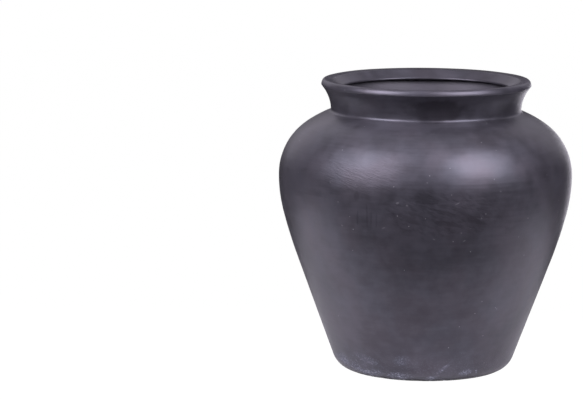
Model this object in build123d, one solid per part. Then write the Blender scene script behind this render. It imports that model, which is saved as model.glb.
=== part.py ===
"""Black clay pot: a wide-shouldered jar with a flared collar and a rolled rim.

The pot is built as a potter builds it. A floor disc carries three wall rings, each with a V tongue that
sits in a V groove in the piece below. A collar stands in a groove round the shoulder's opening, and a
rolled rim caps the collar and overhangs it inside. Two soft coils fill the corners at floor and neck.

Every piece is a solid of revolution about Z, and the pot stands on z = 0. Sections are drawn as
(radius, height), in millimetres; turns are in degrees.
"""

import math
import os

from build123d import *

# The wall's outer face, from the foot up: tangent arcs given by radius and turn, and one straight run.
FOOT_FLAT_RADIUS = 70.0
FOOT_CURVE, FOOT_TURN = 21.0, 69.7
SIDE_LENGTH = 105.7
HIP_CURVE, HIP_TURN = 463.0, 5.8
BELLY_CURVE, BELLY_TURN = 146.0, 14.8
SHOULDER_CURVE, SHOULDER_TURN = 61.0, 54.6
CROWN_CURVE, CROWN_TURN = 110.0, 15.9

WALL = 8.0
FLOOR = 10.0
DISH_RADIUS, DISH_HEIGHT = 52.0, 2.0

# The collar stands on the crown and flares to the rim.
COLLAR_RADIUS = 94.0
COLLAR_CURVE, COLLAR_TURN = 38.5, 41.0

# The rim: a tight nose, an upright band, a rounded crest, and an inner flare down to the throat.
NOSE_CURVE, NOSE_TURN = 0.8, 45.0
BAND_CURVE, BAND_TURN = 9.0, 26.0
CREST_CURVE, CREST_TURN = 3.4, 69.8
LIP_EDGE_RADIUS, LIP_EDGE_FALL, LIP_EDGE_ROUND = 92.5, 1.0, 1.2
THROAT_RADIUS, THROAT_DROP, THROAT_ROUND = 84.0, 7.5, 0.5
THROAT_LAND = 1.8
RIM_SEAT_FALL = 3.0

# Seams: each upper piece has a V tongue in a V groove of this depth, usually halfway across the seam.
GROOVE = 2.5
LOWER_SEAM_SHARE = 0.78
BELLY_SEAM_SHARE = 0.45
RIM_GROOVE_SHARE = 0.68

# Corner coils: where each one's hollow face starts and ends, and that face's radius.
FLOOR_COIL_REACH, FLOOR_COIL_SHARE, FLOOR_COIL_CURVE = 11.0, 0.075, 30.0
NECK_COIL_REACH, NECK_COIL_RISE, NECK_COIL_CURVE = 2.2, 1.5, 3.4
NECK_COIL_BED = 2.0  # how far the neck coil is bedded into the corner

FAR = 400.0  # well outside the pot


def body_outline(depth):
    """The wall's outline at a depth inside its outer face, from the foot to the crown's end."""
    foot = JernArc((FOOT_FLAT_RADIUS, depth), (1, 0), FOOT_CURVE - depth, FOOT_TURN)
    side = PolarLine(foot @ 1, SIDE_LENGTH, direction=foot % 1)
    hip = JernArc(side @ 1, side % 1, HIP_CURVE - depth, HIP_TURN)
    belly = JernArc(hip @ 1, hip % 1, BELLY_CURVE - depth, BELLY_TURN)
    shoulder = JernArc(belly @ 1, belly % 1, SHOULDER_CURVE - depth, SHOULDER_TURN)
    crown = JernArc(shoulder @ 1, shoulder % 1, CROWN_CURVE - depth, CROWN_TURN)
    return [foot, side, hip, belly, shoulder, crown]


def area(*points):
    """The area inside a closed polygon."""
    return make_face(Polyline(*points, close=True).edges())


def filled(outline):
    """The area between an outline and the axis."""
    start, end = outline[0] @ 0, outline[-1] @ 1
    closing = Polyline(end, (0, end.Y), (0, start.Y), start)
    return make_face([*outline, *closing.edges()])


def below(seam):
    """The area below a seam, whose points run from the outer face to the inner one."""
    first, last = seam[0], seam[-1]
    return area((FAR, first.Y), *seam, (0, last.Y), (0, -FAR), (FAR, -FAR))


def v_seam(start, end, share=0.5):
    """A seam from one face of the wall to the other, with a V groove at a share of the way across."""
    across = end - start
    down = Vector(across.Y, -across.X).normalized()
    if down.Y > 0:
        down = -down
    return [start, start + across * share + down * GROOVE, end]


def wall_seam(edge, share):
    """A V seam square to the wall's outer face, at a share of one edge of its outline."""
    along = edge % share
    return v_seam(edge @ share, edge @ share + Vector(-along.Y, along.X) * WALL)


def far_crossing(arc, height):
    """The point at a height on an arc's circle, on the side away from the axis."""
    centre = arc.arc_center
    return Vector(centre.X + math.sqrt(arc.radius**2 - (height - centre.Y) ** 2), height)


def near_crossing(arc, height):
    """The point at a height on an arc's circle, on the side towards the axis."""
    centre = arc.arc_center
    return Vector(centre.X - math.sqrt(arc.radius**2 - (height - centre.Y) ** 2), height)


def upper_crossing(arc, radius):
    """The point at a radius on an arc's circle, on its upper side."""
    centre = arc.arc_center
    return Vector(radius, centre.Y + math.sqrt(arc.radius**2 - (radius - centre.X) ** 2))


def underside_dish():
    """A shallow hollow in the underside, so that the pot stands on a ring."""
    curve = (DISH_RADIUS**2 + DISH_HEIGHT**2) / (2 * DISH_HEIGHT)
    roof = JernArc((0, DISH_HEIGHT), (1, 0), curve, -math.degrees(math.asin(DISH_RADIUS / curve)))
    return make_face([roof, *Polyline(roof @ 1, (0, 0), (0, DISH_HEIGHT)).edges()])


outer, inner = body_outline(0), body_outline(WALL)
foot, side, hip, belly, shoulder, crown = outer
body_area = filled(outer)
wall_area = body_area - filled(inner)

# The collar's two faces are parallel arcs that start upright on the crown.
collar_foot = upper_crossing(crown, COLLAR_RADIUS)
bore_radius = COLLAR_RADIUS - WALL
collar_face = JernArc(collar_foot, (0, 1), COLLAR_CURVE, -COLLAR_TURN)
collar_back = JernArc(collar_foot - (WALL, 0), (0, 1), COLLAR_CURVE + WALL, -COLLAR_TURN)
rim_seat = near_crossing(collar_back, (collar_face @ 1).Y - RIM_SEAT_FALL)

floor_seam = v_seam(far_crossing(foot, FLOOR), far_crossing(inner[0], FLOOR))
lower_seam = wall_seam(side, LOWER_SEAM_SHARE)
belly_seam = wall_seam(belly, BELLY_SEAM_SHARE)
neck_seam = v_seam(collar_foot, collar_foot - (WALL, 0))
neck_coil_toe = upper_crossing(crown, COLLAR_RADIUS + NECK_COIL_REACH)
neck_coil_top = near_crossing(collar_face, collar_foot.Y + NECK_COIL_RISE)
rim_seam = v_seam(collar_face @ 1, rim_seat, RIM_GROOVE_SHARE)


def neck_bed():
    """The notch in the corner between the shoulder and the collar, where the neck coil is bedded."""
    reach = (NECK_COIL_BED, 0)
    drop = (0, NECK_COIL_BED)
    return area(neck_coil_toe, neck_coil_top, collar_foot - reach, collar_foot - drop)


def base_disc():
    """The floor, with the rounded foot outside and a groove for the first wall ring."""
    return (body_area & below(floor_seam)) - underside_dish()


def lower_wall():
    """The first wall ring: the straight flaring side above the foot."""
    return (wall_area & below(lower_seam)) - below(floor_seam)


def belly_wall():
    """The second wall ring: from the side to just below the widest point."""
    return (wall_area & below(belly_seam)) - below(lower_seam)


def shoulder_wall():
    """The third wall ring: over the widest point and in to the opening that the collar stands round."""
    bore = area((0, 0), (bore_radius, 0), (bore_radius, FAR), (0, FAR))
    return (wall_area & below(neck_seam)) - below(belly_seam) - bore - neck_bed()


def neck_collar():
    """The flared collar, of even thickness, from its seat on the shoulder to the rim's seat."""
    stem = Polyline(collar_back @ 0, (bore_radius, 0), (COLLAR_RADIUS, 0), collar_foot)
    top = Line(collar_face @ 1, collar_back @ 1)
    section = make_face([collar_face, collar_back, top, *stem.edges()])
    return (section & below(rim_seam)) - below(neck_seam) - neck_bed()


def rim_roll():
    """The rolled rim, seated on the collar, whose inner edge overhangs the collar as the throat."""
    nose = JernArc(collar_face @ 1, collar_face % 1, NOSE_CURVE, NOSE_TURN)
    band = JernArc(nose @ 1, nose % 1, BAND_CURVE, BAND_TURN)
    crest = JernArc(band @ 1, band % 1, CREST_CURVE, CREST_TURN)
    lip_edge = (crest @ 1).Y - LIP_EDGE_FALL
    inside = FilletPolyline(
        crest @ 1,
        (LIP_EDGE_RADIUS, lip_edge),
        (THROAT_RADIUS, lip_edge - THROAT_DROP),
        (THROAT_RADIUS, lip_edge - THROAT_DROP - THROAT_LAND),
        rim_seam[-1],
        radius=[LIP_EDGE_ROUND, THROAT_ROUND, THROAT_ROUND / 2],
    )
    return make_face([nose, band, crest, *inside.edges(), *Polyline(*rim_seam).edges()])


def corner_coil(toe, corner, top, curve, side, *neighbours):
    """A coil's section: a hollow face from toe to top, and the corner behind it, between its neighbours.

    The side is +1 where the corner lies away from the axis, and -1 where it lies towards the axis.
    """
    hollow = RadiusArc(toe, top, -side * curve)
    depth = side * WALL / 2
    back = Polyline(top, top + (depth, 0), corner + (depth, -WALL / 2), toe - (0, WALL / 2), toe)
    section = make_face([hollow, *back.edges()])
    for neighbour in neighbours:
        section -= neighbour
    return section


def floor_coil():
    """The soft coil pressed into the corner between the floor and the first wall ring."""
    corner = floor_seam[-1]
    toe = corner - (FLOOR_COIL_REACH, 0)
    top = inner[1] @ FLOOR_COIL_SHARE
    return corner_coil(toe, corner, top, FLOOR_COIL_CURVE, 1, base_disc(), lower_wall())


def neck_coil():
    """The soft coil bedded in the outer corner between the shoulder and the collar, and smoothed over."""
    neighbours = neck_collar(), shoulder_wall()
    return corner_coil(neck_coil_toe, collar_foot, neck_coil_top, NECK_COIL_CURVE, -1, *neighbours)


PIECES = {
    "base_disc": base_disc,
    "floor_coil": floor_coil,
    "lower_wall": lower_wall,
    "belly_wall": belly_wall,
    "shoulder_wall": shoulder_wall,
    "neck_coil": neck_coil,
    "neck_collar": neck_collar,
    "rim_roll": rim_roll,
}

os.makedirs("parts", exist_ok=True)
for name, section in PIECES.items():
    export_step(revolve(Plane.XZ * section(), Axis.Z, 360), f"parts/{name}.step")
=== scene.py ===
"""The black clay pot's looks: eight turned pieces of smoked, burnished clay on a pale studio floor.

Metres and radians, with Z up and the pot's axis on Z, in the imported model's frame. An outline is drawn as
(radius, height) points. The pot's skin is one outline, from the middle of the underside, up the outside,
over the rim, and down the inside to the middle of the floor. Each piece is turned from the stretches of
skin that show on it, and is closed behind them along its seams.
"""

import math

import bpy
import numpy as np
from mathutils import Matrix, Vector


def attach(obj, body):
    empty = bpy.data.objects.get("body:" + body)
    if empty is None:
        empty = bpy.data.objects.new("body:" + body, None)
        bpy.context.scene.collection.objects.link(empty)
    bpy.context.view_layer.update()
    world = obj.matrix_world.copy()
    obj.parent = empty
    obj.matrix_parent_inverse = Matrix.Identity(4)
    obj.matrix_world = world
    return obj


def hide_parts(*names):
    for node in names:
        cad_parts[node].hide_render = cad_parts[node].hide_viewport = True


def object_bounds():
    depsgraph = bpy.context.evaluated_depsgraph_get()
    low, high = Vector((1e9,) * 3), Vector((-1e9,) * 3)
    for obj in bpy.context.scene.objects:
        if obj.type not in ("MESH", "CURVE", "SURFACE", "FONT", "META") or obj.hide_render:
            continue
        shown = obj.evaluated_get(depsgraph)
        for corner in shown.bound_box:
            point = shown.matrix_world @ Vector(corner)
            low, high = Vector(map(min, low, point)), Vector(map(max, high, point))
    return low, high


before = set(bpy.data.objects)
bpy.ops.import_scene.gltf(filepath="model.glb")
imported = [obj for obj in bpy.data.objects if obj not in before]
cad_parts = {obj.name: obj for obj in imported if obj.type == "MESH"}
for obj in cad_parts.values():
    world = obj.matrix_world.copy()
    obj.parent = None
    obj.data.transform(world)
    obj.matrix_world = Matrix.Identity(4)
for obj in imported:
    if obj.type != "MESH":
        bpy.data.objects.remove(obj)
cad_box = [list(corner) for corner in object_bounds()]

# ---------------------------------------------------------------- the outline's driving sizes

UNDERSIDE_DISH_RADIUS, UNDERSIDE_DISH_HEIGHT = 0.052, 0.002
FOOT_FLAT_RADIUS = 0.070
# The wall's outer face, from the foot up: tangent runs as (name, radius of curve, turn in degrees, length).
WALL_RUNS = [
    ("foot", 0.0210, 69.7, None),
    ("side", None, None, 0.1057),
    ("hip", 0.4630, 5.8, None),
    ("belly", 0.1460, 14.8, None),
    ("shoulder", 0.0610, 54.6, None),
    ("crown", 0.1100, 15.9, None),
]
FOOT_CURVE, CROWN_CURVE = WALL_RUNS[0][1], WALL_RUNS[-1][1]
WALL = 0.008
FLOOR = 0.010

COLLAR_RADIUS, COLLAR_CURVE, COLLAR_TURN = 0.094, 0.0385, math.radians(41.0)
COLLAR_CENTRE = COLLAR_RADIUS + COLLAR_CURVE  # the radius at which both of the collar's arcs are centred
NOSE_CURVE, NOSE_TURN = 0.0008, math.radians(45.0)
BAND_CURVE, BAND_TURN = 0.0090, math.radians(26.0)
CREST_CURVE, CREST_TURN = 0.0034, math.radians(69.8)
LIP_EDGE_RADIUS, LIP_EDGE_FALL = 0.0925, 0.0010
THROAT_RADIUS, THROAT_DROP, THROAT_LAND = 0.084, 0.0075, 0.0018
RIM_SEAT_FALL = 0.003

GROOVE = 0.0025
LOWER_SEAM_SHARE, BELLY_SEAM_SHARE, RIM_GROOVE_SHARE = 0.78, 0.45, 0.68

FLOOR_COIL_REACH, FLOOR_COIL_SHARE, FLOOR_COIL_CURVE = 0.011, 0.075, 0.030
NECK_COIL_REACH, NECK_COIL_RISE, NECK_COIL_CURVE = 0.0022, 0.0015, 0.0034
NECK_COIL_BED = 0.0020  # how far the neck coil is bedded into the corner

# ---------------------------------------------------------------- the mesh's fineness

FINE = 0.0001  # between the outline's own points
SOFTENING = 0.0004  # how far wet clay rounds a corner
SEGMENTS = 420  # round the pot
RING_GAP_WIDEST, RING_GAP_CLOSEST, RING_GAP_PER_RADIUS = 0.0018, 0.0004, 0.25


class Pen:
    """Draws an outline as fine points, from straight runs and arcs that carry on from one another."""

    def __init__(self, radius, height):
        self.points = [(radius, height)]
        self.heading = 0.0
        self.length = 0.0
        self.marks = {}

    def mark(self, name, back=0.0):
        """Names the place that the pen has come to, or one that lies a little way back."""
        self.marks[name] = self.length - back

    def arc(self, curve, turn):
        """An arc of a curve's radius, tangent to what comes before, anticlockwise if the turn is positive."""
        side = math.copysign(curve, turn)
        radius, height = self.points[-1]
        centre = (radius - side * math.sin(self.heading), height + side * math.cos(self.heading))
        steps = max(2, round(curve * abs(turn) / FINE))
        for heading in np.linspace(self.heading, self.heading + turn, steps + 1)[1:]:
            self.points.append((centre[0] + side * math.sin(heading), centre[1] - side * math.cos(heading)))
        self.heading += turn
        self.length += curve * abs(turn)

    def line(self, length):
        """A straight run along the pen's heading."""
        radius, height = self.points[-1]
        across, up = math.cos(self.heading), math.sin(self.heading)
        for gone in np.linspace(0, length, max(2, round(length / FINE)) + 1)[1:]:
            self.points.append((radius + gone * across, height + gone * up))
        self.length += length

    def line_to(self, point):
        """A straight run to a point."""
        across, up = point[0] - self.points[-1][0], point[1] - self.points[-1][1]
        self.heading = math.atan2(up, across)
        self.line(math.hypot(across, up))

    def hollow_to(self, point, curve):
        """A clockwise arc of a curve's radius to a point."""
        across, up = point[0] - self.points[-1][0], point[1] - self.points[-1][1]
        half = math.asin(math.hypot(across, up) / 2 / curve)
        self.heading = math.atan2(up, across) + half
        self.arc(curve, -2 * half)

    def run(self, curve, turn, length):
        """A straight run if it has a length, or else an arc."""
        if length:
            self.line(length)
        else:
            self.arc(curve, turn)


def seam_apex(start, end, share=0.5):
    """The bottom of the V groove between two faces of the wall, in the piece below."""
    across, up = end[0] - start[0], end[1] - start[1]
    width = math.hypot(across, up)
    down = np.array([up, -across]) / width
    if down[1] > 0:
        down = -down
    return tuple(np.add(start, np.multiply(share, (across, up))) + down * GROOVE)


def floor_crossing(curve):
    """Where the foot's arc meets the top of the floor; its inner face is an arc of a smaller curve."""
    return FOOT_FLAT_RADIUS + math.sqrt(curve**2 - (FOOT_CURVE - FLOOR) ** 2), FLOOR


def draw_underside(pen):
    """The shallow hollow, and the flat ring round it that the pot stands on."""
    pen.mark("start")
    dish_curve = (UNDERSIDE_DISH_RADIUS**2 + UNDERSIDE_DISH_HEIGHT**2) / (2 * UNDERSIDE_DISH_HEIGHT)
    pen.arc(dish_curve, -math.asin(UNDERSIDE_DISH_RADIUS / dish_curve))
    pen.line_to((FOOT_FLAT_RADIUS, 0))
    pen.mark("foot")


def draw_outside(pen):
    """The wall's outer face, up to the toe of the coil at the neck; gives the centre of the crown's arc."""
    for name, curve, turn, length in WALL_RUNS[:-1]:
        pen.run(curve, turn and math.radians(turn), length)
        if name == "foot":
            floor_turn = math.radians(turn) - math.acos((curve - FLOOR) / curve)
            pen.mark("floor_seam_outer", back=curve * floor_turn)
        if name == "side":
            pen.mark("lower_seam_outer", back=length * (1 - LOWER_SEAM_SHARE))
        if name == "belly":
            pen.mark("belly_seam_outer", back=curve * math.radians(turn) * (1 - BELLY_SEAM_SHARE))
    radius, height = pen.points[-1]
    centre = (radius - CROWN_CURVE * math.sin(pen.heading), height + CROWN_CURVE * math.cos(pen.heading))
    toe = math.pi - math.asin((COLLAR_RADIUS + NECK_COIL_REACH - centre[0]) / CROWN_CURVE)
    pen.arc(CROWN_CURVE, toe - pen.heading)
    pen.mark("neck_toe")
    return centre


def draw_neck(pen, collar_foot):
    """The neck's coil and the collar's outer face; gives the outer end of the rim's seam."""
    coil_turn = math.asin(NECK_COIL_RISE / COLLAR_CURVE)
    coil_top = (COLLAR_CENTRE - COLLAR_CURVE * math.cos(coil_turn), collar_foot[1] + NECK_COIL_RISE)
    pen.hollow_to(coil_top, NECK_COIL_CURVE)
    pen.mark("neck_top")
    pen.heading = math.pi / 2 - coil_turn
    pen.arc(COLLAR_CURVE, coil_turn - COLLAR_TURN)
    pen.mark("rim_seam_outer")
    return pen.points[-1]


def draw_rim(pen):
    """The rim's nose, band and crest, its inner flare, and the throat."""
    pen.arc(NOSE_CURVE, NOSE_TURN)
    pen.arc(BAND_CURVE, BAND_TURN)
    pen.arc(CREST_CURVE, CREST_TURN)
    lip_edge = pen.points[-1][1] - LIP_EDGE_FALL
    pen.line_to((LIP_EDGE_RADIUS, lip_edge))
    pen.line_to((THROAT_RADIUS, lip_edge - THROAT_DROP))
    pen.line_to((THROAT_RADIUS, lip_edge - THROAT_DROP - THROAT_LAND))
    pen.mark("throat_end")


def draw_collar_back(pen, collar_foot, seat_height):
    """Out under the rim and down the collar's inner face; gives the inner ends of both seams there.

    The seat's height is that of the rim's seam inside.
    """
    curve = COLLAR_CURVE + WALL
    turn = math.asin((seat_height - collar_foot[1]) / curve)
    rim_seam_inner = (COLLAR_CENTRE - curve * math.cos(turn), seat_height)
    pen.line_to(rim_seam_inner)
    pen.mark("rim_seam_inner")
    pen.heading = -math.pi / 2 - turn
    pen.arc(curve, turn)
    pen.mark("neck_seam_inner")
    return rim_seam_inner, pen.points[-1]


def draw_inside(pen, crown_centre):
    """Down the bore and the wall's inner face, over the coil on the floor, and in to the axis."""
    crown_end = math.radians(sum(turn or 0 for name, curve, turn, length in WALL_RUNS))
    inner_crown_end = (crown_centre[0] + (CROWN_CURVE - WALL) * math.sin(crown_end),
                       crown_centre[1] - (CROWN_CURVE - WALL) * math.cos(crown_end))
    pen.line_to((pen.points[-1][0], inner_crown_end[1]))
    pen.line_to(inner_crown_end)
    pen.mark("inner_crown")
    pen.heading = crown_end - math.pi
    for name, curve, turn, length in reversed(WALL_RUNS[1:]):
        if name == "side":
            pen.line(length * (1 - FLOOR_COIL_SHARE))
            pen.mark("lower_seam_inner", back=length * (LOWER_SEAM_SHARE - FLOOR_COIL_SHARE))
        else:
            pen.arc(curve - WALL, -math.radians(turn))
        if name == "belly":
            pen.mark("belly_seam_inner", back=(curve - WALL) * math.radians(turn) * BELLY_SEAM_SHARE)
    pen.mark("floor_coil_top")
    pen.hollow_to((floor_crossing(FOOT_CURVE - WALL)[0] - FLOOR_COIL_REACH, FLOOR), FLOOR_COIL_CURVE)
    pen.mark("floor_coil_toe")
    pen.line_to((0, FLOOR))
    pen.mark("end")


def foot_points():
    """The points behind the skin at the foot."""
    floor_seam_outer, floor_seam_inner = floor_crossing(FOOT_CURVE), floor_crossing(FOOT_CURVE - WALL)
    foot_end = math.radians(WALL_RUNS[0][2])
    return {
        "floor_apex": seam_apex(floor_seam_outer, floor_seam_inner),
        "floor_corner": floor_seam_inner,
        "inner_foot_end": (FOOT_FLAT_RADIUS + (FOOT_CURVE - WALL) * math.sin(foot_end),
                           FOOT_CURVE - (FOOT_CURVE - WALL) * math.cos(foot_end)),
    }


def neck_points(collar_foot, neck_seam_inner):
    """The points behind the skin at the neck: the seam's groove, and the bed that the coil lies in."""
    radius, height = collar_foot
    apex = seam_apex(collar_foot, neck_seam_inner)
    slope = (height - apex[1]) / (radius - apex[0])
    split = NECK_COIL_BED / (1 + slope)
    return {
        "neck_apex": apex,
        "bed_side": (radius - NECK_COIL_BED, height),
        "bed_split": (radius - split, height - split * slope),
        "bed_floor": (radius, height - NECK_COIL_BED),
    }


def draw_skin():
    """The whole skin as a pen's outline, and the points behind it where seams meet or bend."""
    pen = Pen(0, UNDERSIDE_DISH_HEIGHT)
    draw_underside(pen)
    crown_centre = draw_outside(pen)
    crown_rise = math.sqrt(CROWN_CURVE**2 - (COLLAR_RADIUS - crown_centre[0]) ** 2)
    collar_foot = (COLLAR_RADIUS, crown_centre[1] + crown_rise)
    rim_seam_outer = draw_neck(pen, collar_foot)
    draw_rim(pen)
    seat_height = rim_seam_outer[1] - RIM_SEAT_FALL
    rim_seam_inner, neck_seam_inner = draw_collar_back(pen, collar_foot, seat_height)
    draw_inside(pen, crown_centre)
    behind = foot_points() | neck_points(collar_foot, neck_seam_inner)
    behind["rim_apex"] = seam_apex(rim_seam_outer, rim_seam_inner, RIM_GROOVE_SHARE)
    return pen, behind


def soften(points):
    """Rounds an outline's corners as wet clay rounds them, by a bell-shaped running average."""
    reach = round(4 * SOFTENING / FINE)
    bell = np.exp(-0.5 * (np.arange(-reach, reach + 1) * FINE / SOFTENING) ** 2)
    mirrored = points * (-1, 1)
    padded = np.vstack([mirrored[reach:0:-1], points, mirrored[-2 : -reach - 2 : -1]])
    return np.column_stack([np.convolve(column, bell / bell.sum(), "valid") for column in padded.T])


pen, behind = draw_skin()
marks = pen.marks
drawn = np.array(pen.points)
drawn_s = np.concatenate([[0], np.cumsum(np.hypot(*np.diff(drawn, axis=0).T))])
skin_s = np.arange(0, marks["end"] + FINE / 2, FINE)
skin_line = soften(np.column_stack([np.interp(skin_s, drawn_s, column) for column in drawn.T]))
skin_heading = np.unwrap(np.arctan2(*np.gradient(skin_line, axis=0).T[::-1]))
skin_bend = np.abs(np.gradient(skin_heading, FINE))
skin_gap = np.clip(RING_GAP_PER_RADIUS / np.maximum(skin_bend, 1), RING_GAP_CLOSEST, RING_GAP_WIDEST)
skin_rings = np.cumsum(FINE / skin_gap)

for seam in ("lower", "belly"):
    ends = [tuple(np.interp(marks[f"{seam}_seam_{face}"], skin_s, column) for column in skin_line.T)
            for face in ("outer", "inner")]
    behind[f"{seam}_apex"] = seam_apex(*ends)


def ring_places(start, end):
    """Where the mesh's rings lie along a stretch of skin: closer where the outline bends."""
    first, last = np.interp([start, end], skin_s, skin_rings)
    places = np.interp(np.linspace(first, last, max(2, round(last - first)) + 1), skin_rings, skin_s)
    places[0], places[-1] = start, end
    return places


# ---------------------------------------------------------------- the clay's relief

# How deep the hand's slow waves, its facets, the fine turning lines and the lip's waves are pared away.
SHAPING_DEPTH, FACET_DEPTH, TURNING_DEPTH, LIP_DEPTH = 0.00032, 0.00009, 0.000028, 0.00016
# The finger ridges inside: how far apart, how high, and how uneven.
RIDGE_GAP, RIDGE_HEIGHT, RIDGE_UNEVENNESS = 0.0085, 0.00042, 0.00012
# The chips at the foot: how many, how wide, how far up the skin from the foot's flat, how deep each is, and
# the deepest that they may add up to.
CHIPS, CHIP_REACH, CHIP_PLACE = 46, (0.0012, 0.0030), (0.001, 0.007)
CHIP_DEPTH, CHIP_DEEPEST = (0.00010, 0.00032), 0.0005
# Over what length the relief of the wall, the rim and the inside comes and goes, how far the wall's and the
# rim's overlap, and how much of the floor's middle has no ridges.
WALL_FADE, RIM_FADE, INSIDE_FADE = 0.012, 0.004, 0.010
RELIEF_OVERLAP = 0.004
RIDGE_STOP = 0.006


def ripples(theta, s, seed, count, around, lengths):
    """Smooth unevenness from about -1 to 1: waves that go a whole number of times round the pot."""
    chance = np.random.default_rng(seed)
    total = 0
    for _ in range(count):
        times_round = chance.integers(around[0], around[1] + 1)
        per_metre = 2 * math.pi / chance.uniform(*lengths) * chance.choice([-1, 1])
        total = total + np.cos(times_round * theta + per_metre * s + chance.uniform(0, 2 * math.pi))
    return total / (1.6 * math.sqrt(count))


def between(s, start, end, fade):
    """1 along a stretch of skin, easing to 0 over a fade inside each of its ends."""
    rise = np.clip((s - start) / fade, 0, 1)
    fall = np.clip((end - s) / fade, 0, 1)
    return (rise * rise * (3 - 2 * rise)) * (fall * fall * (3 - 2 * fall))


def foot_chips(theta, s):
    """Small chips knocked off the edge that the pot is set down on."""
    chance = np.random.default_rng(11)
    depth = 0
    for _ in range(CHIPS):
        centre, reach = chance.uniform(-math.pi, math.pi), chance.uniform(*CHIP_REACH)
        place = marks["foot"] + chance.uniform(*CHIP_PLACE)
        apart = (theta - centre + math.pi) % (2 * math.pi) - math.pi
        near = (apart * FOOT_FLAT_RADIUS / reach) ** 2 + ((s - place) / (0.6 * reach)) ** 2
        depth = depth + chance.uniform(*CHIP_DEPTH) * np.exp(-near)
    return np.minimum(depth, CHIP_DEEPEST)


def relief(theta, s):
    """How far the finished surface stands off the drawn skin, along its normal.

    The outside is only ever pared down, so the pot stays inside the size it was designed to.
    """
    wall = between(s, marks["foot"], marks["rim_seam_outer"] + RELIEF_OVERLAP, WALL_FADE)
    rim = between(s, marks["rim_seam_outer"] - RELIEF_OVERLAP, marks["throat_end"], RIM_FADE)
    inside = between(s, marks["inner_crown"], marks["end"] - RIDGE_STOP, INSIDE_FADE)
    shaping = -SHAPING_DEPTH * (0.5 + 0.5 * ripples(theta, s, 1, 10, (1, 3), (0.10, 0.30)))
    facets = -FACET_DEPTH * (0.5 - 0.5 * ripples(theta, s, 2, 36, (6, 34), (0.008, 0.040)))
    turning = -TURNING_DEPTH * (0.5 - 0.5 * ripples(theta, s, 3, 30, (0, 2), (0.0022, 0.0090)))
    lip = -LIP_DEPTH * (0.5 + 0.5 * ripples(theta, s, 4, 8, (2, 9), (0.02, 0.06)))
    pulled = RIDGE_GAP * (1 + 0.08 * ripples(theta, s, 6, 6, (1, 3), (0.10, 0.20)))
    ridges = RIDGE_HEIGHT * np.sin(2 * math.pi * s / pulled + theta)
    ridges = ridges + RIDGE_UNEVENNESS * ripples(theta, s, 5, 20, (0, 6), (0.003, 0.012))
    return wall * (shaping + facets + turning) + rim * lip + inside * ridges - foot_chips(theta, s)


def surface(theta, s):
    """Points on the finished surface, for a column of angles and a row of places along the skin."""
    radius, height, heading = (np.interp(s, skin_s, line) for line in (*skin_line.T, skin_heading))
    stand = relief(theta, s)
    out = radius + stand * np.sin(heading)
    up = height - stand * np.cos(heading)
    return np.stack([out * np.cos(theta), out * np.sin(theta), up + 0 * theta], axis=-1)


def surface_normals(theta, s):
    """The finished surface's own normals, so that shading runs on unbroken from one piece to the next."""
    turn, step = 0.002, 0.0002
    first, last = skin_s[0], skin_s[-1]
    round_way = surface(theta + turn, s) - surface(theta - turn, s)
    up_way = surface(theta, np.clip(s + step, first, last)) - surface(theta, np.clip(s - step, first, last))
    normals = np.cross(round_way, up_way)
    size = np.linalg.norm(normals, axis=-1, keepdims=True)
    heading = np.interp(s, skin_s, skin_heading) + 0 * theta
    out = np.sin(heading)
    plain = np.stack([out * np.cos(theta), out * np.sin(theta), -np.cos(heading)], axis=-1)
    return np.where(size > 1e-12, normals / np.maximum(size, 1e-12), plain)


# ---------------------------------------------------------------- materials

STREAK_ARM = 120  # the radius that streaks are spread round, in millimetres
BUMP_UNIT = 0.001  # the shader's relief is in millimetres

GRAPHITE_SHEEN, GRAPHITE_GLOSS = (0.880, 0.845, 0.950, 1), 0.58
GRAPHITE_COOL, GRAPHITE_WARM = (0.830, 0.840, 0.990, 1), (0.880, 0.825, 0.960, 1)
CLAY_DARK = (0.0140, 0.0133, 0.0162, 1)
CLAY_LIGHT = (0.0250, 0.0238, 0.0292, 1)
# The colour of the pits: painted shade in them.
CLAY_PIT_SHADE = (0.0120, 0.0112, 0.0138, 1)
CLAY_DARKEST = (0.0080, 0.0074, 0.0092, 1)
CLAY_BARE = (0.0520, 0.0500, 0.0560, 1)
CLAY_DUSTY = (0.0400, 0.0380, 0.0420, 1)
CLAY_WORN = (0.1300, 0.1400, 0.1850, 1)
CLAY_LIMED = (0.2300, 0.2400, 0.2900, 1)
# Pale chips and specks; on the foot's bottom edge this paleness is partly painted light.
CLAY_CHIPPED_AND_EDGE_LIGHT = (0.6200, 0.6250, 0.6600, 1)

# What has happened to the front of the pot, in millimetres: (across, up, half width, half height, tilt).
SMUDGES = [
    (-37, 194, 11.0, 7.5, 0.45), (-2, 190, 20.0, 3.4, -0.08), (-65, 190, 2.6, 4.4, 0.0),
    (34, 178, 10.0, 2.2, -0.45), (16, 178, 12.0, 1.8, -0.30), (-14, 170, 8.0, 2.8, -0.40),
    (46, 170, 8.0, 2.0, -0.50), (24, 166, 12.0, 2.0, -0.15),
]
STROKES = [
    (-64, 170, 0.9, 8.0, 0.0), (-55, 172, 1.1, 9.0, 0.04), (-51, 169, 0.8, 6.5, 0.0),
    (-46, 168, 0.8, 7.0, 0.0), (3, 186, 10.0, 1.1, 0.0), (-32, 175, 4.5, 1.1, 0.0),
    (28, 175, 6.0, 1.0, -0.4), (9, 180, 6.0, 0.9, -0.2),
]
FOOT_WEAR = [
    (-79, 17, 9.0, 6.0, -0.5), (-67, 11, 11.0, 6.0, -0.3), (-50, 7, 13.0, 5.0, 0.0),
    (-22, 6, 15.0, 5.0, 0.0), (-20, 24, 9.0, 6.0, 0.2), (20, 16, 11.0, 2.2, 0.7),
    (42, 10, 7.5, 3.5, 0.2), (52, 10, 1.4, 3.0, 0.0), (-58, 22, 14.0, 5.0, -0.3),
    (8, 5, 9.0, 3.0, 0.3),
]
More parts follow.
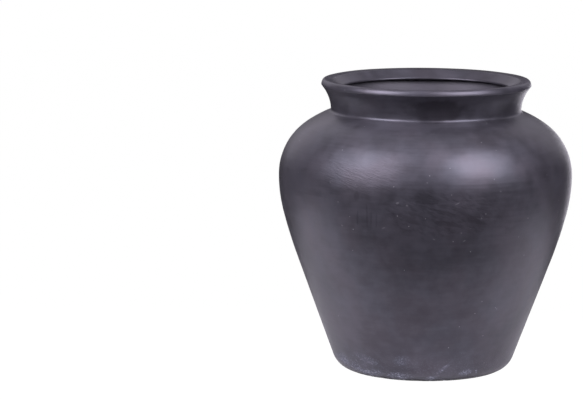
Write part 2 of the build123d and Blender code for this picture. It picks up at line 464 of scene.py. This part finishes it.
NICKS = [
    (-83, 183, 0.7, 0.7, 0.0), (-79, 160, 1.0, 0.6, -0.4), (-39, 161, 1.6, 0.6, 0.4),
    (2, 206, 0.8, 0.6, 0.0), (31, 186, 2.4, 0.5, 0.5), (35, 157, 0.7, 0.7, 0.0),
    (38, 149, 1.3, 0.5, 0.6), (72, 196, 0.7, 0.6, 0.0), (-26, 186, 1.6, 1.0, 0.3),
    (-17, 184, 1.1, 0.8, 0.0), (54, 171, 0.6, 0.8, 0.0), (9, 151, 1.2, 0.6, -0.4),
]


class Nodes:
    """The node tree of a material or a world, with a short call to add a node."""

    def __init__(self, owner):
        owner.use_nodes = True
        self.tree = owner.node_tree
        self.tree.nodes.clear()

    def set(self, socket, value):
        """Sets an input to a value, or links another node's output to it."""
        if isinstance(value, bpy.types.NodeSocket):
            self.tree.links.new(value, socket)
        else:
            socket.default_value = value

    def node(self, kind, *values, **settings):
        """A node with its first inputs set, each to a value or to another node's output."""
        made = self.tree.nodes.new(kind)
        for name, value in settings.items():
            setattr(made, name, value)
        for socket, value in zip(made.inputs, values):
            self.set(socket, value)
        return made


class Clay(Nodes):
    """A clay's material, with a short call for each kind of node it needs. Its places are in millimetres."""

    def __init__(self, name):
        self.material = bpy.data.materials.new(name)
        super().__init__(self.material)
        self.shader = self.tree.nodes.new("ShaderNodeBsdfPrincipled")
        self.shader.inputs["Specular Tint"].default_value = GRAPHITE_SHEEN
        output = self.tree.nodes.new("ShaderNodeOutputMaterial")
        self.tree.links.new(self.shader.outputs[0], output.inputs[0])
        coordinates = self.tree.nodes.new("ShaderNodeTexCoord").outputs["Object"]
        self.place = self.vector("MULTIPLY", coordinates, (1000, 1000, 1000))
        split = self.node("ShaderNodeSeparateXYZ", self.place)
        self.x, self.y, self.z = split.outputs
        flat = self.vector("MULTIPLY", self.place, (1, 1, 0))
        self.radius = self.node("ShaderNodeVectorMath", flat, operation="LENGTH").outputs["Value"]
        self.rise = self.sum(self.z, self.times(self.radius, -1))  # grows all the way up the outside

    def vector(self, operation, a, b):
        return self.node("ShaderNodeVectorMath", a, b, operation=operation).outputs[0]

    def maths(self, operation, a, b):
        return self.node("ShaderNodeMath", a, b, operation=operation).outputs[0]

    def sum(self, a, b):
        return self.maths("ADD", a, b)

    def times(self, a, b):
        return self.maths("MULTIPLY", a, b)

    def total(self, start, *parts):
        """A number with parts added to it, each given as (share, mask)."""
        for share, mask in parts:
            start = self.sum(start, self.times(mask, share))
        return start

    def painted(self, colour, *coats):
        """A colour with coats laid over it in turn, each given as (share, mask, the coat's colour)."""
        for share, mask, coat in coats:
            colour = self.mix(self.times(mask, share), colour, coat)
        return colour

    def step(self, value, low, high):
        """0 below low and 1 above high, eased between; or the other way round if low is the higher."""
        made = self.node("ShaderNodeMapRange", value, low, high, 0.0, 1.0, interpolation_type="SMOOTHSTEP")
        return made.outputs[0]

    def noise(self, place, size, detail=2.0, seed=0, roughness=0.5):
        """Cloudy noise about 0.5, with lumps of a size in millimetres."""
        shifted = self.vector("ADD", place, (seed * 31.7, seed * 57.1, seed * 43.3))
        made = self.tree.nodes.new("ShaderNodeTexNoise")
        self.set(made.inputs["Vector"], shifted)
        made.inputs["Scale"].default_value = 1 / size
        made.inputs["Detail"].default_value = detail
        made.inputs["Roughness"].default_value = roughness
        return made.outputs[0]

    def streaked(self, squeeze):
        """Coordinates that make noise into streaks round the pot, squeezed up its outline."""
        flat = self.vector("MULTIPLY", self.place, (1, 1, 0))
        round_way = self.node("ShaderNodeVectorMath", flat, operation="NORMALIZE").outputs[0]
        arm = self.vector("MULTIPLY", round_way, (STREAK_ARM, STREAK_ARM, 0))
        up_way = self.node("ShaderNodeCombineXYZ", 0.0, 0.0, self.times(self.rise, squeeze)).outputs[0]
        return self.vector("ADD", arm, up_way)

    def slanted(self, angle, squeeze):
        """Coordinates that make noise into strokes across the front, at an angle from level."""
        turned = self.node("ShaderNodeVectorRotate", self.place, (0, 0, 0), (0, 1, 0), angle,
                           rotation_type="AXIS_ANGLE")
        return self.vector("MULTIPLY", turned.outputs[0], (1, 1, squeeze))

    def mix(self, share, a, b):
        """One colour mixed into another by a share. A mix node's colours are its inputs 6 and 7."""
        made = self.node("ShaderNodeMix", share, data_type="RGBA")
        self.set(made.inputs[6], a)
        self.set(made.inputs[7], b)
        return made.outputs[2]

    def patch(self, centre, half, ragged, edge=0.45, tilt=0.0):
        """A ragged oval on the front, 1 inside it: its centre and half sizes are across and up.

        It is tilted by an angle, anticlockwise.
        """
        right, up = self.sum(self.x, -centre[0]), self.sum(self.z, -centre[1])
        ways = ((math.cos(tilt), math.sin(tilt)), (-math.sin(tilt), math.cos(tilt)))
        along, over = (self.sum(self.times(right, way[0] / size), self.times(up, way[1] / size))
                       for way, size in zip(ways, half))
        away = self.sum(self.times(along, along), self.times(over, over))
        uneven = self.sum(away, self.times(self.sum(ragged, -0.5), 1.6))
        return self.times(self.step(uneven, 1 + edge, 1 - edge), self.step(self.y, 5.0, -5.0))

    def marks(self, places, ragged):
        """Small ovals on the front, 1 inside them: each is (across, up, half width, half height, tilt)."""
        total = 0.0
        for across, up, half_width, half_height, tilt in places:
            total = self.sum(total, self.patch((across, up), (half_width, half_height), ragged, 0.9, tilt))
        return self.maths("MINIMUM", total, 1.0)

    def less(self, value, share, mask):
        """A value lowered by a share of itself where a mask is 1."""
        return self.times(value, self.sum(1.0, self.times(mask, -share)))

    def specks(self, spacing, size, share, seed):
        """Tiny round dots, 1 inside them: the share of the cells that have one is between 0 and 1."""
        made = self.tree.nodes.new("ShaderNodeTexVoronoi")
        shifted = self.vector("ADD", self.place, (seed * 13.1, seed * 7.7, seed * 29.3))
        self.set(made.inputs["Vector"], shifted)
        made.inputs["Scale"].default_value = 1 / spacing
        dots = self.step(made.outputs["Distance"], 1.2 * size / spacing, 0.6 * size / spacing)
        chosen = self.node("ShaderNodeSeparateColor", made.outputs["Color"]).outputs[0]
        return self.times(dots, self.step(chosen, 1 - share, 1.001 - share))

    def finish(self, colour, roughness, height, gloss=GRAPHITE_GLOSS):
        """Joins colour, roughness, a relief in millimetres and a gloss to the shader."""
        self.set(self.shader.inputs["Base Color"], colour)
        self.set(self.shader.inputs["Roughness"], roughness)
        self.set(self.shader.inputs["Specular IOR Level"], gloss)
        bump = self.tree.nodes.new("ShaderNodeBump")
        bump.inputs["Distance"].default_value = BUMP_UNIT
        self.set(bump.inputs["Height"], height)
        self.set(self.shader.inputs["Normal"], bump.outputs[0])
        return self.material


def burnished_clay():
    """The outside: smoked black clay rubbed to a soft gloss, scuffed in front, worn pale at the foot, and
    with painted light on the foot's chipped bottom edge.
    """
    clay = Clay("burnished_clay")
    clouds = clay.noise(clay.place, 62, 2, seed=1)
    mottle = clay.noise(clay.place, 12, 3, seed=2)
    grain = clay.noise(clay.place, 0.9, 2, seed=3)
    streaks = clay.noise(clay.streaked(11), 30, 3, seed=4)
    hairlines = clay.noise(clay.streaked(34), 26, 2, seed=5)

    scuffed = clay.patch((14, 175), (50, 22), mottle)
    blots = clay.step(clay.noise(clay.slanted(-0.35, 2.6), 7.5, 4, seed=6), 0.40, 0.66)
    smudges = clay.marks(SMUDGES, mottle)
    strokes = clay.marks(STROKES, mottle)
    nicks = clay.marks(NICKS, grain)
    # A darker, less glossy patch on the middle of the collar's front.
    collar_dark_patch = clay.patch((10, 268), (26, 11), mottle)
    dulled = clay.maths("MINIMUM", clay.sum(clay.times(scuffed, clay.times(blots, 0.8)), smudges), 1.0)
    rubbed = clay.patch((-60, 213), (40, 18), mottle, 0.8)
    rubs = clay.noise(clay.slanted(-0.28, 7), 9, 4, seed=8, roughness=0.6)

    low = clay.step(clay.z, 46.0, 3.0)
    cloudy = clay.sum(clay.noise(clay.place, 30, 2, seed=14), clay.times(mottle, 0.7))
    smeared = clay.step(clay.sum(cloudy, clay.times(clay.y, 0.0030)), 0.78, 1.04)
    worn = clay.times(low, clay.maths("MAXIMUM", smeared, clay.marks(FOOT_WEAR, cloudy)))
    lime = clay.step(clay.noise(clay.place, 1.4, 3, seed=10), 0.54, 0.64)
    rubbings = clay.step(clay.noise(clay.slanted(-0.6, 5), 6, 3, seed=11), 0.54, 0.66)
    # Chips round the foot's bottom edge: real chips, painted paler still as painted light on the shaded edge.
    foot_edge_band = clay.times(clay.step(clay.z, 3.6, 1.2), clay.step(clay.radius, 69.0, 71.5))
    edge = clay.times(foot_edge_band, clay.step(clay.noise(clay.place, 3.0, 3, seed=12), 0.56, 0.62))
    specks = clay.specks(10.5, 0.50, 0.7, seed=1)

    smoke = clay.sum(clay.times(clouds, 0.50), clay.sum(clay.times(mottle, 0.34), clay.times(streaks, 0.16)))
    limed = clay.times(clay.total(lime, (0.5, rubbings)), clay.total(0.06, (0.85, worn)))
    colour = clay.mix(clay.step(smoke, 0.36, 0.64), CLAY_DARK, CLAY_LIGHT)
    colour = clay.painted(
        colour,
        (0.50, dulled, CLAY_DARKEST),
        (0.28, worn, CLAY_WORN),
        (0.60, collar_dark_patch, CLAY_DARKEST),
        (1.00, clay.maths("MINIMUM", clay.times(low, limed), 0.9), CLAY_LIMED),
        (0.90, edge, CLAY_CHIPPED_AND_EDGE_LIGHT),
        (0.20, specks, CLAY_CHIPPED_AND_EDGE_LIGHT),
        (0.06, nicks, CLAY_CHIPPED_AND_EDGE_LIGHT),
    )

    roughness = clay.total(
        0.315, (0.08, streaks), (0.10, mottle), (0.05, dulled), (0.07, rubbed), (0.14, worn), (0.14, edge)
    )

    hue = clay.step(clay.noise(clay.place, 38, 2, seed=15), 0.35, 0.65)
    clay.set(clay.shader.inputs["Specular Tint"], clay.mix(hue, GRAPHITE_COOL, GRAPHITE_WARM))
    gloss = clay.times(clay.total(0.55, (0.9, smoke)), GRAPHITE_GLOSS)
    for share, mask in ((0.18, dulled), (0.28, strokes), (0.36, collar_dark_patch), (0.20, worn)):
        gloss = clay.less(gloss, share, mask)

    height = clay.total(
        0.0, (0.036, streaks), (0.020, hairlines), (0.022, grain), (0.060, mottle),
        (-0.070, clay.times(scuffed, blots)), (0.34, clay.times(rubbed, rubs)),
        (-0.030, strokes), (-0.030, smudges), (0.030, clay.times(low, lime)),
    )
    return clay.finish(colour, roughness, height, gloss)


def inner_clay():
    """The inside: wiped with a wet hand and never burnished, dusty where the floor catches it."""
    clay = Clay("inner_clay")
    clouds = clay.noise(clay.place, 48, 2, seed=21)
    wiped = clay.noise(clay.streaked(8), 34, 4, seed=22)
    grain = clay.noise(clay.place, 0.9, 3, seed=23)
    pits = clay.specks(5.0, 0.5, 0.8, seed=5)
    drifts = clay.step(clay.noise(clay.place, 14, 3, seed=24), 0.35, 0.65)
    dusty = clay.times(clay.step(clay.z, 30.0, 9.0), drifts)
    colour = clay.mix(clay.step(clay.sum(clouds, wiped), 0.75, 1.25), CLAY_DARK, CLAY_LIGHT)
    # Painted shade: the pits are coloured darker for the shade that falls in them.
    colour = clay.painted(colour, (0.7, dusty, CLAY_DUSTY), (0.6, pits, CLAY_PIT_SHADE))
    roughness = clay.total(0.50, (0.16, wiped))
    height = clay.total(0.0, (0.14, wiped), (0.035, grain), (-0.06, pits))
    return clay.finish(colour, roughness, height)


def bare_clay():
    """The underside and the scored seams: unburnished, sandy, rubbed pale on the ring that it stands on."""
    clay = Clay("bare_clay")
    clouds = clay.noise(clay.place, 26, 3, seed=31)
    sand = clay.noise(clay.place, 1.3, 3, seed=32)
    swirls = clay.noise(clay.streaked(6), 40, 3, seed=33)
    rubbed = clay.step(clay.noise(clay.place, 7, 3, seed=34), 0.38, 0.60)
    standing = clay.times(clay.step(clay.z, 0.9, 0.1), rubbed)
    pits = clay.specks(4.0, 0.6, 0.7, seed=9)
    colour = clay.mix(clay.step(clay.total(clouds, (0.4, sand)), 0.45, 0.95), CLAY_LIGHT, CLAY_BARE)
    # Painted shade: the pits are coloured darker for the shade that falls in them.
    colour = clay.painted(colour, (0.55, standing, CLAY_WORN), (0.7, pits, CLAY_PIT_SHADE))
    roughness = clay.total(0.66, (0.14, sand))
    height = clay.total(0.0, (0.07, sand), (0.12, swirls), (-0.10, pits))
    return clay.finish(colour, roughness, height)


MATERIALS = [burnished_clay(), inner_clay(), bare_clay()]
BURNISHED, INNER, BARE = range(3)

# ---------------------------------------------------------------- the pieces

# Each piece's section, in order round it: stretches of skin as (from, to, material), and points behind.
PIECES = {
    "base_disc": [("start", "foot", BARE), ("foot", "floor_seam_outer", BURNISHED), "floor_apex",
                  "floor_corner", ("floor_coil_toe", "end", INNER)],
    "floor_coil": [("floor_coil_top", "floor_coil_toe", INNER), "floor_corner", "inner_foot_end"],
    "lower_wall": [("floor_seam_outer", "lower_seam_outer", BURNISHED), "lower_apex",
                   ("lower_seam_inner", "floor_coil_top", INNER), "inner_foot_end", "floor_corner",
                   "floor_apex"],
    "belly_wall": [("lower_seam_outer", "belly_seam_outer", BURNISHED), "belly_apex",
                   ("belly_seam_inner", "lower_seam_inner", INNER), "lower_apex"],
    "shoulder_wall": [("belly_seam_outer", "neck_toe", BURNISHED), "bed_floor", "bed_split", "neck_apex",
                      ("neck_seam_inner", "belly_seam_inner", INNER), "belly_apex"],
    "neck_coil": [("neck_toe", "neck_top", BURNISHED), "bed_side", "bed_split", "bed_floor"],
    "neck_collar": [("neck_top", "rim_seam_outer", BURNISHED), "rim_apex",
                    ("rim_seam_inner", "neck_seam_inner", INNER), "neck_apex", "bed_split", "bed_side"],
    "rim_roll": [("rim_seam_outer", "throat_end", BURNISHED), ("throat_end", "rim_seam_inner", INNER),
                 "rim_apex"],
}
AT_THE_AXIS = 1e-6  # a column this near the axis is one point


def section_columns(section, theta):
    """A section's points round the pot, their normals, and the material of the face after each of them."""
    points, normals, materials = [], [], []
    for part in section:
        if isinstance(part, str):
            radius, height = behind[part]
            place = np.stack([radius * np.cos(theta), radius * np.sin(theta), height + 0 * theta], axis=-1)
            points.append(place)
            normals.append(np.zeros_like(place))
            materials.append([None])
            continue
        start, end, material = part
        places = ring_places(marks[start], marks[end])
        if materials and start == previous_end:
            places = places[1:]
            materials[-1] = materials[-1][:-1] + [material]
        points.append(surface(theta, places[None, :]))
        normals.append(surface_normals(theta, places[None, :]))
        materials.append([material] * (len(places) - 1) + [None])
        previous_end = end
    return np.concatenate(points, axis=1), np.concatenate(normals, axis=1), sum(materials, [])


def add_piece(node, section):
    """Adds one closed piece of clay, turned from its section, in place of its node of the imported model."""
    theta = np.linspace(-math.pi, math.pi, SEGMENTS, endpoint=False)[:, None]
    points, normals, materials = section_columns(section, theta)
    columns = points.shape[1]
    poles = [j for j in (0, columns - 1) if np.abs(points[:, j, :2]).max() < AT_THE_AXIS]
    index = np.arange(SEGMENTS * columns).reshape(SEGMENTS, columns)
    for j in poles:
        index[:, j] = index[0, j]
    after = np.roll(index, -1, axis=0)
    faces, corner_normals, face_materials = [], [], []
    for j in range(columns - 1 if poles else columns):
        k = (j + 1) % columns
        quads = np.stack([index[:, j], after[:, j], after[:, k], index[:, k]], axis=1)
        if j in poles:
            quads = quads[:, [0, 2, 3]]
        elif k in poles:
            quads = quads[:, [0, 1, 2]]
        material = materials[j]
        if material is None:
            corners = points.reshape(-1, 3)[quads]
            flat = np.cross(corners[:, 1] - corners[:, 0], corners[:, -1] - corners[:, 0])
            flat /= np.linalg.norm(flat, axis=1, keepdims=True)
            corner_normals.append(np.repeat(flat, quads.shape[1], axis=0))
        else:
            corner_normals.append(normals.reshape(-1, 3)[quads].reshape(-1, 3))
        faces.extend(quads.tolist())
        face_materials.extend([BARE if material is None else material] * len(quads))
    used, renumbered = np.unique(np.concatenate([np.ravel(face) for face in faces]), return_inverse=True)
    ends = np.cumsum([len(face) for face in faces])
    faces = [part.tolist() for part in np.split(renumbered, ends[:-1])]

    mesh = bpy.data.meshes.new(f"{node}_clay")
    mesh.from_pydata(points.reshape(-1, 3)[used].tolist(), [], faces)
    for material in MATERIALS:
        mesh.materials.append(material)
    mesh.polygons.foreach_set("material_index", face_materials)
    mesh.polygons.foreach_set("use_smooth", [True] * len(faces))
    mesh.normals_split_custom_set(np.concatenate(corner_normals).tolist())
    piece = bpy.data.objects.new(f"{node}_clay", mesh)
    bpy.context.scene.collection.objects.link(piece)
    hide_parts(node)
    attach(piece, "root")


for node, section in PIECES.items():
    add_piece(node, section)

# ---------------------------------------------------------------- the studio

POT_MIDDLE = (Vector(cad_box[0]) + Vector(cad_box[1])) / 2
FLOOR_OPENING, FLOOR_REACH, FLOOR_SIDES = 0.069, 3.0, 96
PAINTED_LIGHT_POOL = (0.75, 0.22, 1.0)  # half the painted pool of light's width and depth
PAINTED_LIGHT_POOL_MIDDLE = (-0.09, 0.02, 0.0)
# The floor's colour inside the pool and beyond it: a painted pool of light fading to painted shade.
PAINTED_LIGHT_POOL_ALBEDO, PAINTED_SHADE_ALBEDO = 0.75, 0.06
FLOOR_GLOW, SHADOW_SHARE = 1.05, 0.05
DAYLIGHT = (0.945, 0.900, 1.0, 1)
ROOM_FILL = 0.02
FADE = (0.6, 1.4)  # where a soft edge starts and ends, as shares of the reach that it fades about
# The room's bright parts: (azimuth, elevation, reach, radiance).
ROOM_PARTS = [
    (0, 86, 26, 1.05), (0, 40, 25, 0.36), (-148, 26, 22, 0.95), (150, 28, 20, 0.75),
    (-95, -4, 18, 0.25), (54, 2, 24, 1.20), (-46, 2, 24, 1.00), (0, -6, 20, 0.14),
    (-140, 60, 13, 0.70), (150, 68, 11, 0.60), (20, -62, 34, 1.00),
]
# The lamps: (name, azimuth, elevation, distance, half width, half height, radiance).
SOFT_BOXES = [
    ("right_soft_box", 45.5, 38.5, 1.4, 17.2, 18.0, 12.3),
    ("left_soft_box", -51.0, 36.0, 1.4, 16.0, 18.5, 13.4),
    ("edge_light", 154, 0, 0.7, 10, 12, 2.6),
]


def compass(azimuth, elevation):
    """The way to a place in the studio, in degrees: azimuth 0 is in front, and positive to the right."""
    a, e = math.radians(azimuth), math.radians(elevation)
    return Vector((math.sin(a) * math.cos(e), -math.cos(a) * math.cos(e), math.sin(e)))


def soft_box(name, azimuth, elevation, distance, half_width, half_height, radiance):
    """A square light that faces the pot, with its half sizes in degrees as the pot sees them."""
    way = compass(azimuth, elevation)
    light = bpy.data.lights.new(name, "AREA")
    light.shape = "RECTANGLE"
    light.size = 2 * distance * math.tan(math.radians(half_width))
    light.size_y = 2 * distance * math.tan(math.radians(half_height))
    light.energy = radiance * math.pi * light.size * light.size_y
    light.color = DAYLIGHT[:3]
    lamp = bpy.data.objects.new(name, light)
    lamp.location = POT_MIDDLE + way * distance
    lamp.rotation_euler = way.to_track_quat("Z", "Y").to_euler()
    lamp.visible_camera = False
    bpy.context.scene.collection.objects.link(lamp)


def studio_floor():
    """The white ground: evenly bright to look at, and to the pot a painted pool of light, wider than it is
    deep, with painted shade on the ground beyond it.

    It is open under the pot, so that light from below reaches the underside.
    """
    mesh = bpy.data.meshes.new("studio_floor")
    turns = np.linspace(0, 2 * math.pi, FLOOR_SIDES, endpoint=False)
    rims = [(reach * math.cos(a), reach * math.sin(a), 0)
            for reach in (FLOOR_OPENING, FLOOR_REACH) for a in turns]
    sides = [(k, (k + 1) % FLOOR_SIDES) for k in range(FLOOR_SIDES)]
    mesh.from_pydata(rims, [], [(a, a + FLOOR_SIDES, b + FLOOR_SIDES, b) for a, b in sides])
    floor = bpy.data.objects.new("studio_floor", mesh)
    bpy.context.scene.collection.objects.link(floor)
    material = bpy.data.materials.new("studio_white")
    stage = Nodes(material)
    place = stage.node("ShaderNodeTexCoord").outputs["Object"]
    moved = stage.node("ShaderNodeVectorMath", place, PAINTED_LIGHT_POOL_MIDDLE, operation="SUBTRACT").outputs[0]
    pool_place = stage.node("ShaderNodeVectorMath", moved, PAINTED_LIGHT_POOL, operation="DIVIDE").outputs[0]
    away = stage.node("ShaderNodeVectorMath", pool_place, operation="LENGTH").outputs["Value"]
    # Painted pool of light: the floor's colour fades from white near the pot to dark further out, standing in
    # for the light falling off.
    fade = stage.node("ShaderNodeMapRange", away, *FADE, PAINTED_LIGHT_POOL_ALBEDO, PAINTED_SHADE_ALBEDO,
                      interpolation_type="SMOOTHSTEP")
    lit = stage.node("ShaderNodeBsdfDiffuse", fade.outputs[0]).outputs[0]
    seen = stage.node("ShaderNodeEmission", (1, 1, 1, 1), FLOOR_GLOW).outputs[0]
    faint = stage.node("ShaderNodeMixShader", SHADOW_SHARE, seen, lit).outputs[0]
    path = stage.node("ShaderNodeLightPath").outputs["Is Camera Ray"]
    both = stage.node("ShaderNodeMixShader", path, lit, faint).outputs[0]
    beneath = stage.node("ShaderNodeNewGeometry").outputs["Backfacing"]
    clear = stage.node("ShaderNodeBsdfTransparent").outputs[0]
    stage.node("ShaderNodeOutputMaterial", stage.node("ShaderNodeMixShader", beneath, both, clear).outputs[0])
    mesh.materials.append(material)


def studio_world():
    """White to look at, and to the pot a dim room with a few soft bright parts."""
    world = bpy.data.worlds.new("studio")
    bpy.context.scene.world = world
    stage = Nodes(world)
    way = stage.node("ShaderNodeTexCoord").outputs["Generated"]
    glow = ROOM_FILL
    for azimuth, elevation, reach, radiance in ROOM_PARTS:
        near = stage.node("ShaderNodeVectorMath", way, compass(azimuth, elevation), operation="DOT_PRODUCT")
        core, rim = (math.cos(math.radians(share * reach)) for share in FADE)
        part = stage.node("ShaderNodeMapRange", near.outputs["Value"], rim, core, 0.0, radiance,
                          interpolation_type="SMOOTHSTEP").outputs[0]
        glow = stage.node("ShaderNodeMath", glow, part, operation="ADD").outputs[0]
    room = stage.node("ShaderNodeBackground", DAYLIGHT, glow).outputs[0]
    seen = stage.node("ShaderNodeBackground", (1, 1, 1, 1), 1.0).outputs[0]
    path = stage.node("ShaderNodeLightPath").outputs["Is Camera Ray"]
    stage.node("ShaderNodeOutputWorld", stage.node("ShaderNodeMixShader", path, room, seen).outputs[0])


for lamp in SOFT_BOXES:
    soft_box(*lamp)
studio_floor()
studio_world()

# ---------------------------------------------------------------- the camera

CAMERA_PLACE = Vector((0, -3.341, 0.6665))
CAMERA_YAW, CAMERA_PITCH, CAMERA_ROLL = math.radians(-2.267), math.radians(8.503), math.radians(0.344)
CAMERA_SENSOR, CAMERA_LENS = 36, 210.4  # in millimetres

camera = bpy.data.cameras.new("camera")
camera.sensor_width = CAMERA_SENSOR
camera.lens = CAMERA_LENS
viewer = bpy.data.objects.new("camera", camera)
viewer.matrix_world = (
    Matrix.Translation(CAMERA_PLACE)
    @ Matrix.Rotation(-CAMERA_YAW, 4, "Z")
    @ Matrix.Rotation(math.pi / 2 - CAMERA_PITCH, 4, "X")
    @ Matrix.Rotation(CAMERA_ROLL, 4, "Z")
)
bpy.context.scene.collection.objects.link(viewer)
bpy.context.scene.camera = viewer
bpy.context.scene.view_settings.view_transform = "Standard"
